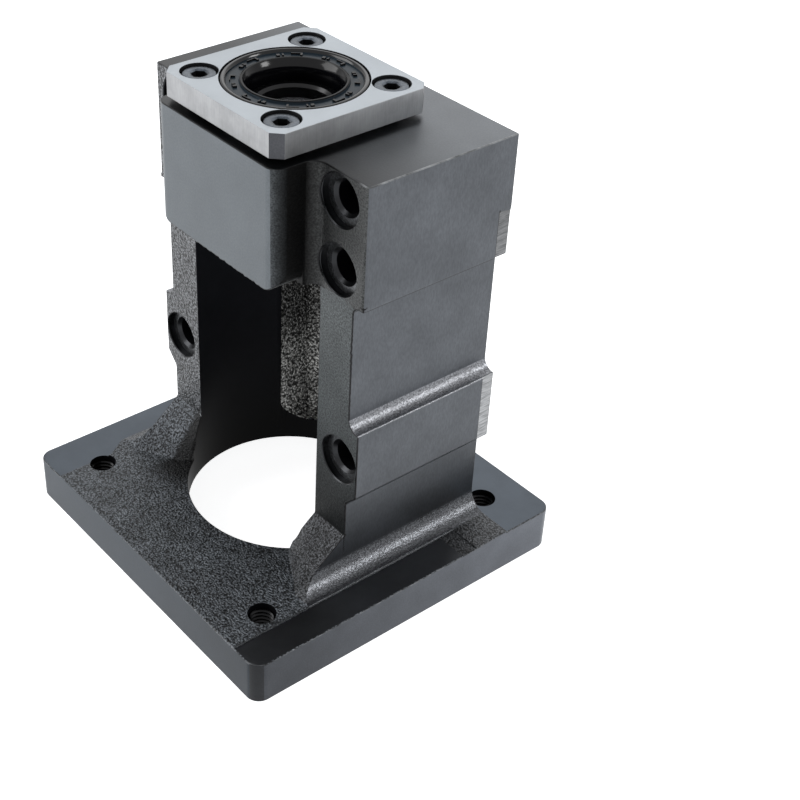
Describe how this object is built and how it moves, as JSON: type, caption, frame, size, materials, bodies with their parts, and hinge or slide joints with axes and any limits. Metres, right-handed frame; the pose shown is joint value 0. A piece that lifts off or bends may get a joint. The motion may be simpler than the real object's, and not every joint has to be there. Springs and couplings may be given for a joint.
{
  "type": "ball screw motor bracket",
  "caption": "Cast bracket with a ball-screw bearing head on legs above a square motor flange, and an open coupling bay between them.",
  "frame": {"origin": "on the screw axis, in the motor face at the underside of the flange", "axes": "+Z along the screw axis from the motor to the bearing head, +Y out of the mounting face, -Y out of the open side of the coupling bay"},
  "size_m": [0.088, 0.085, 0.1125],
  "materials": {
    "casting": "sand-cast skin with machined and oxide-blackened faces",
    "cap_steel": "fine milled, bare",
    "screw_steel": "black oxide",
    "seal_rubber": "glossy moulded nitrile",
    "spring_steel": "drawn wire",
    "bearing_steel": "ground and polished",
    "ball_steel": "lapped",
    "cage_plastic": "glass-filled polyamide",
    "collar_steel": "black oxide, ground outside"
  },
  "bodies": {
    "frame": {"bracket_casting": "casting", "bearing_cap": "cap_steel", "cap_screw_1": "screw_steel", "cap_screw_2": "screw_steel", "cap_screw_3": "screw_steel", "cap_screw_4": "screw_steel", "upper_oil_seal": "seal_rubber", "upper_garter_spring": "spring_steel", "lower_oil_seal": "seal_rubber", "lower_garter_spring": "spring_steel", "upper_bearing_outer_ring": "bearing_steel", "lower_bearing_outer_ring": "bearing_steel"},
    "rotor": {"upper_bearing_inner_ring": "bearing_steel", "lower_bearing_inner_ring": "bearing_steel", "upper_collar": "collar_steel", "lower_collar": "collar_steel"},
    "upper_ball_set": {"upper_bearing_cage": "cage_plastic", "upper_bearing_balls": "ball_steel"},
    "lower_ball_set": {"lower_bearing_cage": "cage_plastic", "lower_bearing_balls": "ball_steel"}
  },
  "joints": [
    {"name": "screw_spin", "type": "hinge", "parent": "frame", "child": "rotor", "pos_m": [0, 0, 0.0945], "axis": [0, 0, 1], "continuous": true},
    {"name": "upper_ball_orbit", "type": "hinge", "parent": "frame", "child": "upper_ball_set", "pos_m": [0, 0, 0.099], "axis": [0, 0, 1], "continuous": true},
    {"name": "lower_ball_orbit", "type": "hinge", "parent": "frame", "child": "lower_ball_set", "pos_m": [0, 0, 0.09], "axis": [0, 0, 1], "continuous": true}
  ],
  "couplings": [
    {"joint": "upper_ball_orbit", "follows": "screw_spin", "ratio": 0.41226},
    {"joint": "lower_ball_orbit", "follows": "screw_spin", "ratio": 0.41226}
  ]
}
